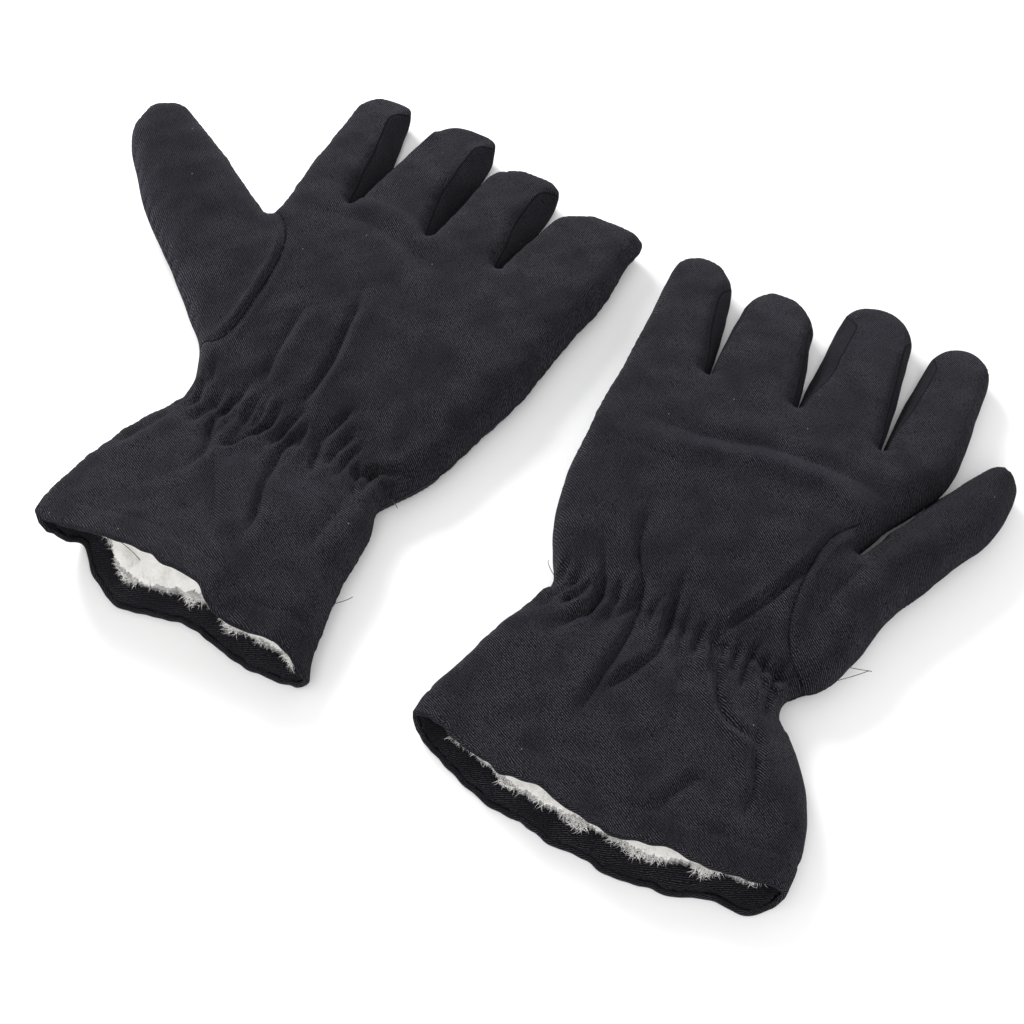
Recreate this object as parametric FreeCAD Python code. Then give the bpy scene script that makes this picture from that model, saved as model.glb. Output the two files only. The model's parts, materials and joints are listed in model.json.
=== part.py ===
"""A pair of cryogenic gloves with gauntlet cuffs, lying palm up on a table, fingers along +Y.

Each glove is a sewn shell over insulation and a pile lining, and is hollow from the cuff's mouth to
the fingertips.  Sizes are in millimetres.  Every glove is modelled in its own frame first: x = y = 0
at the middle of the wrist, +y towards the fingertips, the thumb on the -x side, z = 0 on the table.
The right glove is the mirror image of that frame.
"""
import FreeCAD, Part

import math
import os

from FreeCAD import Vector

# Layers, from the outside in.
SHELL = 1.2            # twill shell fabric
INSULATION = 2.5       # quilted insulation, in the hand only
PILE = 3.0             # pile lining
ELASTIC = 1.2          # wrist elastic
FACING = 1.0           # turned hem inside the cuff's mouth
LAYER_GAP = 0.1        # between two layers that lie on each other
SEAM_GAP = 0.1         # between two panels sewn edge to edge

# Heights above the table.
DIGIT_HEIGHT = 26.0    # thickness of every finger, thumb and wrist
MID_Z = DIGIT_HEIGHT / 2.0
SOLE_TRIM = 0.2        # taken off the underside, which leaves it flat on the table

# Hinges: a rounded end of the moving piece turns in a hollow end of the hand.
HINGE_RADIUS = MID_Z + SOLE_TRIM
HINGE_CLEARANCE = 0.4
FOLD_ROOM = 2.0        # extra room above a moving piece, where its fabric rises past the hinge
FINGER_CURL = 60.0     # degrees, towards the palm
THUMB_CURL = 50.0
CUFF_FOLD = 45.0

# Fingertips and fourchettes.
TIP_DOME = 16.0        # length of the rounded end
DOME_STEPS = (0.0, 0.3, 0.55, 0.75, 0.9, 0.98)
FOURCHETTE_WIDTH = 12.0
FOURCHETTE_END = 10.0  # the strip stops this far before the fingertip
INNER_SIDES = {"index": (1,), "middle": (-1, 1), "ring": (-1, 1), "little": (-1,)}

# Wrist and hem.
CUFF_HINGE_Y = -12.0
ELASTIC_Y = (2.0, 10.0)
INSULATION_START_Y = 12.0
HEM_DEPTH = 15.0

ROOT_OVERRUN = 10.0    # the thumb's root is drawn this far past its hinge, then cut back
FAR = 400.0            # longer than any glove

# A palm or cuff station is (y, thumb-side edge, little-side edge, thumb-side and little-side height).
# A finger is (x at the knuckle line, x at the tip, y at the tip, width).
# A thumb is its hinge point, heading away from +y, length, width at the hinge and near the tip, and
# the root that joins it to the palm: how far back it reaches, its inward shift there and its width.
GLOVES = {
    "left": {
        "wrist": (-98.7, 1.4),
        "mirrored": False,
        "palm": [(-30, -58, 61, 26, 26), (0, -56, 61, 26, 26), (30, -60, 76, 28, 28),
                 (75, -66, 88, 30, 30), (125, -72, 96, 28, 28), (172, -74, 100, 26, 26)],
        "cuff": [(8, -56, 64, 26, 26), (-14, -57, 60, 26, 26), (-38, -67, 65, 33, 26),
                 (-66, -72, 69, 42, 26), (-96, -74, 77, 48, 24)],
        "knuckle_y": 151.0,
        "fingers": {"index": (-56.5, -57, 214, 37), "middle": (-16.5, -12, 215, 37),
                    "ring": (23, 30, 203, 38), "little": (67, 80, 193, 42)},
        "thumb": {"hinge": (-83, 81), "heading": 52.5, "length": 102, "width": (56, 38),
                  "root": (45, 0, 62)},
    },
    "right": {
        "wrist": (98.7, -1.4),
        "mirrored": True,
        "palm": [(-30, -62, 54, 26, 26), (0, -59, 53, 26, 26), (30, -62, 67, 28, 28),
                 (75, -60, 73, 30, 30), (125, -77, 78, 28, 28), (165, -86, 78, 26, 26)],
        "cuff": [(8, -59, 55, 26, 26), (-14, -62, 54, 26, 26), (-38, -83, 64, 26, 27),
                 (-66, -92, 71, 26, 29), (-98, -95, 77, 27, 31)],
        "knuckle_y": 144.0,
        "fingers": {"index": (-64.5, -64.5, 206, 35), "middle": (-25, -22, 210, 40),
                    "ring": (18, 24, 195, 38), "little": (59, 65, 198, 35)},
        "thumb": {"hinge": (-71, 60), "heading": 22.0, "length": 91, "width": (38, 27),
                  "root": (50, 8, 40)},
    },
}


def rounded_section(y, left_edge, right_edge, low_z, left_high_z, right_high_z):
    """Closed section across the glove at y: straight above and below, round at both sides."""
    left_radius = (left_high_z - low_z) / 2.0
    right_radius = (right_high_z - low_z) / 2.0
    left = left_edge + left_radius
    right = right_edge - right_radius
    top = Part.makeLine(Vector(left, y, left_high_z), Vector(right, y, right_high_z))
    right_side = Part.Arc(Vector(right, y, right_high_z),
                          Vector(right_edge, y, low_z + right_radius),
                          Vector(right, y, low_z)).toShape()
    bottom = Part.makeLine(Vector(right, y, low_z), Vector(left, y, low_z))
    left_side = Part.Arc(Vector(left, y, low_z), Vector(left_edge, y, low_z + left_radius),
                         Vector(left, y, left_high_z)).toShape()
    return Part.Wire([top, right_side, bottom, left_side])


def digit_section(y, centre_x, half_width, half_height):
    """Section of a finger or thumb, level with its hinge axis."""
    low_z, high_z = MID_Z - half_height, MID_Z + half_height
    return rounded_section(y, centre_x - half_width, centre_x + half_width, low_z, high_z, high_z)


def flat_bottom(solid):
    """The solid with the part below the table taken off."""
    table_side = Part.makeBox(2 * FAR, 2 * FAR, FAR, Vector(-FAR, -FAR, 0))
    return solid.common(table_side)


def station_loft(stations, inset):
    """Body through palm or cuff stations, shrunk by inset on every side."""
    wires = [rounded_section(y, thumb_edge + inset, little_edge - inset, inset - SOLE_TRIM,
                             thumb_height - inset, little_height - inset)
             for y, thumb_edge, little_edge, thumb_height, little_height in stations]
    return flat_bottom(Part.makeLoft(wires, True, True))


def digit_tube(length, widths, lean, inset, reach_back):
    """Finger or thumb with a rounded tip, its hinge axis through the origin, pointing along +y.

    widths are at the hinge and at the start of the dome; lean is the sideways shift per unit length.
    """
    dome = TIP_DOME - inset
    dome_start = length - TIP_DOME
    places = [(-reach_back, 1.0), (0.0, 1.0), (dome_start / 2.0, 1.0)]
    for step in DOME_STEPS:
        places.append((dome_start + step * dome, math.sqrt(1.0 - step * step)))
    wires = []
    for y, scale in places:
        along = min(max(y / dome_start, 0.0), 1.0)
        half_width = (widths[0] + (widths[1] - widths[0]) * along) / 2.0 - inset
        wires.append(digit_section(y, lean * y, half_width * scale, (HINGE_RADIUS - inset) * scale))
    return flat_bottom(Part.makeLoft(wires, True, True))


def hinge_frame(point, heading):
    """Placement that takes a piece drawn along +y from the origin to its hinge on the glove."""
    turn = FreeCAD.Rotation(Vector(0, 0, 1), heading)
    return FreeCAD.Placement(Vector(point[0], point[1], 0), turn)


def moving_side(half_span):
    """Everything ahead of a hinge at the origin, with the round end that turns in the hand."""
    ahead = Part.makeBox(2 * half_span, FAR, FAR, Vector(-half_span, 0, 0))
    round_end = Part.makeCylinder(HINGE_RADIUS, 2 * half_span, Vector(-half_span, 0, MID_Z),
                                  Vector(1, 0, 0))
    return ahead.fuse(round_end)


def swept_room(half_span, largest_turn):
    """Room that the hand must leave for a piece turning up from rest about the origin's x axis."""
    radius = HINGE_RADIUS + HINGE_CLEARANCE
    ahead = Part.makeBox(2 * half_span, FAR, 2 * FAR, Vector(-half_span, 0, -FAR))
    round_end = Part.makeCylinder(radius, 2 * half_span, Vector(-half_span, 0, MID_Z),
                                  Vector(1, 0, 0))
    turned = Part.makeBox(2 * half_span, FAR, 2 * radius + FOLD_ROOM,
                          Vector(-half_span, 0, MID_Z - radius))
    turned.rotate(Vector(0, 0, MID_Z), Vector(1, 0, 0), largest_turn)
    return ahead.fuse([round_end, turned])


def placed(shape, placement):
    """Copy of the shape moved by the placement."""
    moved = shape.copy()
    moved.Placement = placement.multiply(moved.Placement)
    return moved


def upper(shape):
    """Palm-side part of a shell, above the side seam."""
    return shape.common(Part.makeBox(2 * FAR, 2 * FAR, FAR,
                                     Vector(-FAR, -FAR, MID_Z + SEAM_GAP / 2.0)))


def lower(shape):
    """Back-of-hand part of a shell, below the side seam."""
    return shape.common(Part.makeBox(2 * FAR, 2 * FAR, MID_Z - SEAM_GAP / 2.0, Vector(-FAR, -FAR, 0)))


def between_y(shape, low_y, high_y):
    """Slice of the shape between two distances from the wrist."""
    return shape.common(Part.makeBox(2 * FAR, high_y - low_y, FAR, Vector(-FAR, low_y, 0)))


def thumb_placement(glove):
    return hinge_frame(glove["thumb"]["hinge"], glove["thumb"]["heading"])


def thumb_tube(glove, inset, reach_back):
    """Thumb in its own hinge frame, pointing along +y."""
    thumb = glove["thumb"]
    return digit_tube(thumb["length"], thumb["width"], 0.0, inset, reach_back)


def thumb_root(glove, inset):
    """Stump on the palm that the thumb joins, running a little past the hinge."""
    thumb = glove["thumb"]
    reach_back, shift, width = thumb["root"]
    half_height = HINGE_RADIUS - inset
    wires = [digit_section(inset - reach_back, shift, width / 2.0 - inset, half_height),
             digit_section(0.0, 0.0, thumb["width"][0] / 2.0 - inset, half_height),
             digit_section(ROOT_OVERRUN, 0.0, thumb["width"][0] / 2.0 - inset, half_height)]
    return placed(flat_bottom(Part.makeLoft(wires, True, True)), thumb_placement(glove))


def hand_body(glove, inset):
    """Palm with the root of the thumb, shrunk by inset, before the hinges are cut."""
    return station_loft(glove["palm"], inset).fuse(thumb_root(glove, inset))


def hand_cuts(glove):
    """Room for the fingers, the thumb and the cuff, in the glove's frame."""
    finger_room = placed(swept_room(FAR / 2.0, FINGER_CURL),
                         hinge_frame((0, glove["knuckle_y"]), 0.0))
    thumb_half = glove["thumb"]["width"][0] / 2.0 + FOLD_ROOM
    thumb_room = placed(swept_room(thumb_half, THUMB_CURL), thumb_placement(glove))
    cuff_room = placed(swept_room(FAR / 2.0, CUFF_FOLD), hinge_frame((0, CUFF_HINGE_Y), 180.0))
    return [finger_room, thumb_room, cuff_room]


def hand_parts(glove):
    """Palm and back panels, insulation, lining and wrist elastic: the part that stays still."""
    cuts = hand_cuts(glove)

    def layer(outer_inset, thickness):
        outer = hand_body(glove, outer_inset)
        inner = hand_body(glove, outer_inset + thickness)
        return outer.cut([inner] + cuts)

    under_shell = SHELL + LAYER_GAP
    under_insulation = under_shell + INSULATION + LAYER_GAP
    shell = layer(0.0, SHELL)
    insulation = between_y(layer(under_shell, INSULATION), INSULATION_START_Y, FAR)
    return {
        "palm_panel": upper(shell),
        "back_panel": lower(shell),
        "palm_insulation": upper(insulation),
        "back_insulation": lower(insulation),
        "hand_lining": layer(under_insulation, PILE),
        "wrist_elastic": between_y(layer(under_shell, ELASTIC), *ELASTIC_Y),
    }


def fourchette_cells(sides, length, grow):
    """Boxes round the side strips of a finger, in its hinge frame."""
    half = FOURCHETTE_WIDTH / 2.0 + grow
    cells = []
    for side in sides:
        corner = Vector(0 if side > 0 else -FAR, -FAR / 2.0, MID_Z - half)
        cells.append(Part.makeBox(FAR, FAR / 2.0 + length - FOURCHETTE_END + grow, 2 * half, corner))
    return cells


def finger_parts(glove, name):
    """Front, back, side strips and lining of one finger."""
    base_x, tip_x, tip_y, width = glove["fingers"][name]
    length = tip_y - glove["knuckle_y"]
    lean = (tip_x - base_x) / length
    place = hinge_frame((base_x, glove["knuckle_y"]), 0.0)
    keep = moving_side(width)

    def layer(outer_inset, thickness):
        outer = digit_tube(length, (width, width), lean, outer_inset, HINGE_RADIUS)
        inner = digit_tube(length, (width, width), lean, outer_inset + thickness, 2 * HINGE_RADIUS)
        return outer.cut(inner).common(keep)

    shell = layer(0.0, SHELL)
    sides = INNER_SIDES[name]
    strips = Part.makeCompound([shell.common(cell) for cell in fourchette_cells(sides, length, 0.0)])
    faces = shell.cut(fourchette_cells(sides, length, SEAM_GAP))
    parts = {
        "front": upper(faces),
        "back": lower(faces),
        "fourchette": strips,
        "lining": layer(SHELL + LAYER_GAP, PILE),
    }
    return {f"{name}_{part}": placed(shape, place) for part, shape in parts.items()}


def thumb_parts(glove):
    """Front, back and lining of the thumb."""
    keep = moving_side(glove["thumb"]["width"][0])

    def layer(outer_inset, thickness):
        outer = thumb_tube(glove, outer_inset, HINGE_RADIUS)
        inner = thumb_tube(glove, outer_inset + thickness, 2 * HINGE_RADIUS)
        return outer.cut(inner).common(keep)

    shell = layer(0.0, SHELL)
    parts = {
        "thumb_front": upper(shell),
        "thumb_back": lower(shell),
        "thumb_lining": layer(SHELL + LAYER_GAP, PILE),
    }
    return {name: placed(shape, thumb_placement(glove)) for name, shape in parts.items()}


def cuff_parts(glove):
    """Gauntlet panels, turned hem and lining, all folding at the wrist."""
    keep = placed(moving_side(FAR / 2.0), hinge_frame((0, CUFF_HINGE_Y), 180.0))
    hem_y, *hem_section = glove["cuff"][-1]
    past_hem = glove["cuff"] + [(hem_y - HEM_DEPTH, *hem_section)]

    def layer(outer_inset, thickness):
        outer = station_loft(past_hem, outer_inset)
        inner = station_loft(past_hem, outer_inset + thickness)
        return between_y(outer.cut(inner), hem_y, FAR).common(keep)

    under_shell = SHELL + LAYER_GAP
    shell = layer(0.0, SHELL)
    facing_end = hem_y + HEM_DEPTH
    return {
        "cuff_palm_panel": upper(shell),
        "cuff_back_panel": lower(shell),
        "cuff_hem_facing": between_y(layer(under_shell, FACING), hem_y, facing_end),
        "cuff_lining": between_y(layer(under_shell, PILE), facing_end + SEAM_GAP, FAR),
    }


def glove_nodes(side):
    """Every piece of one glove, placed beside the other glove."""
    glove = GLOVES[side]
    parts = hand_parts(glove)
    for finger in glove["fingers"]:
        parts.update(finger_parts(glove, finger))
    parts.update(thumb_parts(glove))
    parts.update(cuff_parts(glove))
    nodes = {}
    for name, shape in parts.items():
        if glove["mirrored"]:
            shape = shape.mirror(Vector(0, 0, 0), Vector(1, 0, 0))
        shape.translate(Vector(glove["wrist"][0], glove["wrist"][1], 0))
        nodes[f"{side}_{name}"] = shape
    return nodes


def pair_nodes():
    """Every piece of both gloves and the shift that puts the origin under the middle of the pair."""
    nodes = {}
    for side in GLOVES:
        nodes.update(glove_nodes(side))
    box = Part.makeCompound(list(nodes.values())).optimalBoundingBox(False, False)
    shift = Vector(-(box.XMin + box.XMax) / 2.0, -(box.YMin + box.YMax) / 2.0, 0)
    for shape in nodes.values():
        shape.translate(shift)
    return nodes, shift


def main():
    os.makedirs("parts", exist_ok=True)
    nodes, _ = pair_nodes()
    for name, shape in nodes.items():
        shape.exportStep(f"parts/{name}.step")


if __name__ == "__main__":
    main()
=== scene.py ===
"""Looks of a pair of cryogenic gloves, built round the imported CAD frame.

Each glove is drawn in its own frame in millimetres, as the CAD model is: the origin under the
middle of the wrist, +y to the fingertips, the thumb on the -x side.  A welded skin of front panel,
back panel and fourchettes is simulated as cloth, creased, and then cut into the sewn pieces.
"""

import json
import math

import bmesh
import bpy
import numpy as np
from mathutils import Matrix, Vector
from mathutils.geometry import delaunay_2d_cdt
from mathutils.kdtree import KDTree


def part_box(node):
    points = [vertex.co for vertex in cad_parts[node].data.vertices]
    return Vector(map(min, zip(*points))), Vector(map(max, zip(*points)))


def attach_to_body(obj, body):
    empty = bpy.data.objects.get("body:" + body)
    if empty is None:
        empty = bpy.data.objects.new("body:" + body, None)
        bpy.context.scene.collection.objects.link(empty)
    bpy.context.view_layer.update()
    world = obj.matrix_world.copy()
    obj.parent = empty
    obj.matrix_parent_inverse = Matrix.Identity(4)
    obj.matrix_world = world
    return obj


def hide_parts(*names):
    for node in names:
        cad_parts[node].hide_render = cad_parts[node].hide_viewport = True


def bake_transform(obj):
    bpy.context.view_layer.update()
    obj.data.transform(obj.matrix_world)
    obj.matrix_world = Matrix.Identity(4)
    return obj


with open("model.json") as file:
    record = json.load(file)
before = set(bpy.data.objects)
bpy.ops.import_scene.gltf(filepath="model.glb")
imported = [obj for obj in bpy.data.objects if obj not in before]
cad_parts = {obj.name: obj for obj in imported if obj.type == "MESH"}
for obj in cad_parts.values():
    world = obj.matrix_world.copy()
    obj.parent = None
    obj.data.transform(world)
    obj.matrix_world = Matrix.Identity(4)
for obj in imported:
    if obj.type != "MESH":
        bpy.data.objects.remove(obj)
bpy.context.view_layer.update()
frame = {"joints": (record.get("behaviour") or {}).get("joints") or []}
JOINTS = {joint["name"]: joint for joint in frame["joints"]}
FINGERS = ("index", "middle", "ring", "little")

# ---------------------------------------------------------------- driving sizes (mm)
GRID = 3.0                # spacing of the cloth mesh before it is subdivided
EDGE_STEP = 2.4           # spacing along the sewn edges
SHELL = 1.1               # twill thickness
FACING = 1.1              # thickness of the turned hem
HEM_DEPTH = 14.0          # how far the turned hem reaches into the mouth
LINING_IN = 3.0           # shell's outside to the lining's outside
LINING = 2.6              # lining thickness without its pile
LINING_OVER_HEM = 3.0     # how far the lining laps over the hem's inner edge
INSULATION_START = 12.0   # insulation's lower edge above the wrist
ELASTIC_WIDTH = 9.0
SLIT = 0.5                # half the gap between two fingers
BACK_INSET = 0.2          # back edge of a fourchette inside the finger's outline
FRONT_RISE = 7.5          # front edge of a fourchette above the side seam's height
BACK_DROP = 8.0           # back edge of a fourchette below the side seam's height
STRIP_ROWS = 4            # rows of cloth across a fourchette
HAIR_COUNT = 8000         # pile fibres in one mouth
HAIR_RADIUS = 0.14
THREAD_RADIUS = 0.16
RIB_PITCH = 0.88          # spacing of the twill's diagonal ribs
CUFF_HINGE = -12.0        # cuff hinge in the glove frame, along y
CUFF_LENGTH = 84.0        # from the cuff's hinge to the hem
SEAM_EASE = 0.35          # most that smoothing may move a sewn edge
TIP_EASE = 2.0            # fingertips end this far inside the CAD outline
# Zone, from each hinge, between the hand and a moving part, of which only the start is used,
# and how far before that zone the pieces are cut.
FINGER_BEND = (-5.0, 27.0)
BENDS = {"thumb": (10.0, 42.0), "cuff": (-5.0, 27.0)}
CUT_BACK = 3.0
THUMB_CUT_BACK = 1.0
CUFF_CUT_BACK = 1.0

# ---------------------------------------------------------------- cloth simulation
SLACK = 0.02              # share by which the cloth is larger than its room everywhere
GATHER = 0.34             # further share by which it is wider at the wrist
GATHER_REACH = 17.0       # how far the wrist's gathers reach, in mm
CLOTH_FRAMES = 24
HOLD = {"cloth": 0.02, "floor": 0.15, "hem": 0.6, "side": 1.0}     # how firmly it is pinned
SETTLE_LIMIT = 6.0        # furthest that the cloth may move from its drawn shape, in mm
CLOTH = {"quality": 6, "mass": 0.1, "tension_stiffness": 20, "compression_stiffness": 20,
         "shear_stiffness": 6, "bending_stiffness": 0.15, "vertex_group_mass": "hold",
         "pin_stiffness": 1.0, "use_pressure": True, "uniform_pressure_force": 1.0}

# ---------------------------------------------------------------- folds and seams (mm)
PUSH_LIMITS = (-5.5, 4.5)         # deepest valley and highest ridge of the folds
THUMB_SEAM_FOLD = (1.8, 1.3, 2.6)     # depth, width and ridge along the thumb's base seam
SEAM_REACH = 6.0                  # distances from a seam are measured up to here

# ---------------------------------------------------------------- stage (m, W)
FLOOR = 6.0               # half the floor's width
SKY = 0.80                # strength of the white surroundings
LAMPS = (("key", (-1.1, 0.7, 0.9), 27.0, 0.6), ("fill", (0.5, -0.9, 1.6), 14.0, 1.4))
CAMERA_AIM = (0.00965, 0.0275, 0.0)     # from the middle between the two wrists
CAMERA_ANGLES = (28.0, 60.0)            # azimuth and elevation, in degrees
CAMERA_DISTANCE = 0.7834
CAMERA_LENS = 59.77                     # in mm, on a 36 mm sensor

# ---------------------------------------------------------------- outlines (mm, glove frame)
# thumb_edge runs from the hem's thumb-side corner to the index finger's tip, little_edge back down
# from the little finger's tip to the hem; both are the widest outline seen from above.
GLOVES = {
    "left": {
        "mirror": 1.0,
        "wrist_width": (-52.0, 56.0),
        "pleat_seed": 3,
        "thumb_edge": [
            (-66, -90.5), (-69, -78), (-70, -60), (-68, -44), (-65, -25), (-60, -13), (-56, -3),
            (-54, 8), (-57.5, 18), (-65, 31), (-83, 46.5), (-101, 62), (-131, 85), (-154, 108),
            (-165, 120), (-169, 134), (-167, 146), (-158, 153), (-148, 153), (-134, 146),
            (-107, 131), (-88, 119.5), (-75, 112), (-73, 117), (-73.5, 130), (-74.5, 150),
        ],
        "little_edge": [
            (97, 150), (93, 121.5), (89.5, 97), (87.5, 76), (81, 51), (73, 20), (62.5, 1),
            (57.5, -8), (62, -21), (63.5, -45), (65.5, -61), (69, -80), (74, -93),
        ],
        "front_hem": [
            (67, -92), (59, -88.5), (47, -93), (36, -93), (27, -92), (22, -88), (10, -85.5),
            (0, -86), (-15, -84), (-26, -86), (-37, -88), (-51, -89.5),
        ],
        "back_hem": [
            (61, -96), (47, -98), (30, -95.5), (14, -93.5), (9, -91.5), (0, -94), (-18, -98),
            (-30, -97), (-42, -91), (-50, -83), (-58, -81),
        ],
        "crotch": [(-40, 134.5), (4, 135.5), (43.5, 135)],
        "front_inset": [(0, 8), (3.5, 8.5), (3.5, 8), (3.5, 0)],
        "tip": (16.0, (2.2, 3.4)),
        "tip_trim": (4.0, 0.0, -0.5, 0.0),
        "mouth_height": [
            (-64, 40), (-51, 42), (-37, 44), (-26, 46), (-14, 48), (10, 46), (24, 44), (30, 38),
            (42, 34), (47, 31), (56, 29), (67, 21), (74, 13),
        ],
        "side_seam": ((12.0, 40.0), (12.0, 12.0)),
        "thumb_crotch": (-75.0, 112.0),
        "threads": [
            ((60, -2, 14), (0.9, -0.5, 0.2), 9), ((62, -60, 14), (0.8, 0.5, 0.2), 11),
            ((-34, -85, 42), (1.0, -0.22, -0.30), 26),
        ],
        "thumb_seam": [
            (-63, 28), (-52, 30), (-48, 38), (-47, 50), (-48, 74), (-51, 90), (-56, 100),
            (-64, 108), (-74, 112),
        ],
    },
    "right": {
        "mirror": -1.0,
        "wrist_width": (-56.0, 50.0),
        "pleat_seed": 8,
        "thumb_edge": [
            (-95, -81), (-94.5, -70), (-92.7, -58), (-88, -45), (-79.5, -31), (-70, -20),
            (-62, -14), (-60.5, -6), (-66, 1), (-74.5, 10), (-81, 28), (-85, 49.5), (-95, 74),
            (-105, 95), (-111.5, 111), (-113.5, 128), (-112, 141), (-106, 147), (-98, 146),
            (-91.5, 137), (-85.3, 125), (-78.2, 110), (-68.6, 90), (-62.2, 74.5), (-61.5, 73.6),
            (-61.5, 75.2), (-67.8, 90.6), (-77.4, 110.8), (-84.3, 125), (-85.5, 137), (-84.5, 150),
        ],
        "little_edge": [
            (77.5, 140), (77.5, 130), (76.5, 100), (73.5, 55), (65, 21.5), (54, 2), (53.5, -6.5),
            (62, -24), (68.7, -46), (73, -61), (76.3, -74), (77, -84),
        ],
        "front_hem": [
            (63, -84), (44, -91.5), (27, -93), (14, -92.5), (-5, -95.5), (-24, -96.5), (-32, -93.5),
            (-51, -90.5), (-67, -88), (-83, -84),
        ],
        "back_hem": [
            (67.5, -89), (52, -95.5), (36, -99), (22, -102), (0, -102.5), (-34, -102.5),
            (-51, -99.5), (-66, -94), (-84, -93), (-90, -87),
        ],
        "crotch": [(-50, 127.5), (-6, 131.5), (37.5, 129.5)],
        "front_inset": [(0, 6.5), (3.5, 10), (3, 3), (6, 0)],
        "tip": (21.0, (2.1, 2.1)),
        "tip_trim": (0.0, 0.0, 0.0, 0.0),
        "mouth_height": [
            (-94, 13), (-83, 19), (-67, 24), (-51, 27), (-24, 28), (-5, 29), (14, 28), (27, 27),
            (44, 24), (63, 19), (75, 15),
        ],
        "side_seam": ((12.0, 12.0), (12.0, 15.0)),
        "thumb_crotch": (-61.4, 73.4),
        "threads": [
            ((52, 2, 14), (0.8, 0.5, 0.1), 9), ((-80, 14, 10), (-0.7, 0.7, 0.1), 12),
            ((-83, 22, 10), (-0.9, 0.2, 0.1), 8),
        ],
        "thumb_seam": [(-66, 2), (-57, 8), (-49, 22), (-46, 40), (-46, 58), (-50, 72), (-58, 84)],
    },
}
# Places along the hand, from the wrist, and the height of the palm's top there.
PALM_HEIGHT = [(-30, 25), (-10, 23), (2, 21), (25, 26), (75, 29), (125, 27), (150, 25), (172, 22),
               (205, 15)]

# Creases of the palm side: points, depth, width and the height of the ridge beside it (mm).
CREASES = {
    "left": [
        ([(-6, 92), (-2, 78), (1, 60), (3.5, 44), (3.5, 29), (2, 15), (0, 6)], 4.8, 1.9, 2.0),
        ([(-3, 10), (-8, -1), (-14, -14), (-21, -22)], 3.9, 1.3, 2.2),
        ([(27, 30), (21.5, 13), (17, 1)], 3.4, 1.6, 1.5),
        ([(16, 15), (7, -1), (8, -13.5), (11.5, -27), (18, -45), (22, -66)], 5.1, 2.0, 2.2),
        ([(-23, 72), (-23, 51), (-22.5, 38), (-20, 22), (-20, 8)], 3.2, 2.2, 1.5),
        ([(-24, 28), (-26, 9), (-30, -6), (-23, -21.5), (-22, -31), (-25, -46)], 4.1, 1.8, 2.0),
        ([(38, -5), (47, 2), (58, 9), (67, 14)], 3.9, 1.6, 2.0),
        ([(-19, -24), (-3, -45), (6, -59), (15, -70)], 3.0, 3.0, 1.9),
        ([(40, -6), (46, -22), (45, -52)], 2.3, 3.2, 1.8),
        ([(-46, -4), (-54, -22), (-60, -46)], 2.5, 2.8, 1.8),
        ([(-42, 4), (-44, 16), (-50, 27)], 2.5, 1.8, 1.5),
        ([(-60, 118), (-20, 124), (30, 112)], 1.0, 4.0, 1.5),
    ],
    "right": [
        ([(31, 62), (26, 30), (18, 15), (12, 0), (11, -17), (12, -42), (14, -74)], 5.1, 1.9, 2.2),
        ([(43, 28), (33, 8), (29, -5), (35, -16), (43, -32)], 4.4, 1.6, 2.1),
        ([(2, 34), (0, 13), (-3, -4), (-3, -19), (7, -41), (10, -56)], 3.9, 1.6, 2.0),
        ([(-52, 70), (-37, 32), (-28.7, 16), (-23.5, 4), (-25, -7)], 4.4, 1.7, 1.9),
        ([(-24, 4), (-31, -12), (-39, -26), (-50, -31.5), (-66, -32)], 4.1, 1.6, 2.1),
        ([(-36, 6), (-50, 0.5), (-62, 1)], 3.9, 1.5, 1.8),
        ([(-53, -20), (-65, -50), (-65, -61), (-70, -71)], 3.4, 2.0, 1.9),
        ([(-46, -54), (-36, -73), (-36, -85)], 2.8, 2.2, 1.6),
        ([(66, 87), (25, 90), (-11, 99), (-49, 101), (-76, 93)], 1.4, 3.4, 2.2),
        ([(-14, -8), (-20, -30), (-26, -58)], 2.3, 3.2, 1.9),
        ([(-61, 20), (-60, 40), (-67, 66), (-76, 90), (-85, 108)], 2.6, 3.4, 1.8),
    ],
}


# ---------------------------------------------------------------- small helpers
def wrist_of(side):
    """The glove frame's origin in the row frame, in mm, from the cuff's hinge."""
    hinge = JOINTS[f"{side}_cuff_fold"]["pos_m"]
    return np.array([hinge[0] * 1000.0, hinge[1] * 1000.0 - CUFF_HINGE, 0.0])


def to_row(side, points):
    """Glove-frame points in mm as row-frame points in metres."""
    out = np.array(points, float)
    out[:, 0] *= GLOVES[side]["mirror"]
    return (out + wrist_of(side)) / 1000.0


def to_glove(side, point_m):
    """A row-frame point in metres as a glove-frame point in mm."""
    out = np.array(point_m, float) * 1000.0 - wrist_of(side)
    out[0] *= GLOVES[side]["mirror"]
    return out


def ramp(values, low, high):
    """Smooth step from 0 at low to 1 at high."""
    t = np.clip((np.asarray(values, float) - low) / (high - low), 0.0, 1.0)
    return t * t * (3.0 - 2.0 * t)


def bell(values, centre, width):
    """1 at the centre, falling smoothly to almost 0 at two widths from it."""
    return np.exp(-((values - centre) / width) ** 2)


def unit(vectors):
    """Vectors of length 1."""
    return vectors / np.maximum(np.linalg.norm(vectors, axis=1, keepdims=True), 1e-12)


def at_most(shifts, limit):
    """Shifts no longer than the limit."""
    size = np.linalg.norm(shifts, axis=1, keepdims=True)
    return shifts * np.minimum(1.0, limit / np.maximum(size, 1e-6))


def profile(points, x):
    """Height at x, between the given points."""
    xs, ys = zip(*points)
    return np.interp(x, xs, ys)


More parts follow.
